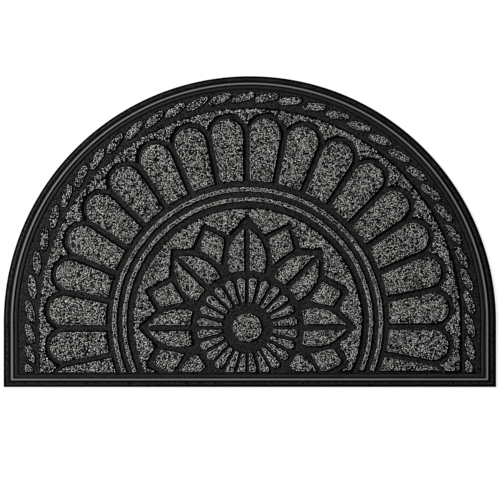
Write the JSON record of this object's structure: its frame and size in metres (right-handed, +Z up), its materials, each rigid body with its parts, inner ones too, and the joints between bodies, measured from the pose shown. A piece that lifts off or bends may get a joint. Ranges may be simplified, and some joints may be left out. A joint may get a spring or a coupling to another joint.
{
  "type": "half round rubber doormat",
  "caption": "Half round moulded rubber doormat with a beaded rim and raised carpet inlays in a sunburst, petal, scallop and rope design.",
  "frame": {"origin": "middle of the mat's length and depth, on the flat underside", "axes": "+X along the straight edge, +Y from the straight edge to the crown of the arch, +Z up out of the pile"},
  "size_m": [0.762, 0.481, 0.008],
  "materials": {
    "rubber": "matte moulded rubber, dark charcoal",
    "carpet_pile": "curly loop pile, grey flecked with light and dark"
  },
  "bodies": {
    "root": {"arc_inner": "carpet_pile", "arc_outer": "carpet_pile", "disc": "carpet_pile", "kite_1": "carpet_pile", "kite_2": "carpet_pile", "kite_3": "carpet_pile", "kite_4": "carpet_pile", "kite_5": "carpet_pile", "kite_6": "carpet_pile", "outer_band": "carpet_pile", "panel_01": "carpet_pile", "panel_02": "carpet_pile", "panel_03": "carpet_pile", "panel_04": "carpet_pile", "panel_05": "carpet_pile", "panel_06": "carpet_pile", "panel_07": "carpet_pile", "panel_08": "carpet_pile", "panel_09": "carpet_pile", "panel_10": "carpet_pile", "panel_11": "carpet_pile", "panel_12": "carpet_pile", "panel_13": "carpet_pile", "panel_14": "carpet_pile", "panel_15": "carpet_pile", "panel_16": "carpet_pile", "panel_17": "carpet_pile", "panel_18": "carpet_pile", "panel_19": "carpet_pile", "panel_20": "carpet_pile", "petal_1_left": "carpet_pile", "petal_2_left": "carpet_pile", "petal_2_right": "carpet_pile", "petal_3_left": "carpet_pile", "petal_3_right": "carpet_pile", "petal_4_left": "carpet_pile", "petal_4_right": "carpet_pile", "petal_5_left": "carpet_pile", "petal_5_right": "carpet_pile", "petal_6_left": "carpet_pile", "petal_6_right": "carpet_pile", "petal_7_right": "carpet_pile", "rope_border": "carpet_pile", "rubber_base": "rubber", "sunburst": "carpet_pile", "surround": "carpet_pile"}
  },
  "joints": []
}
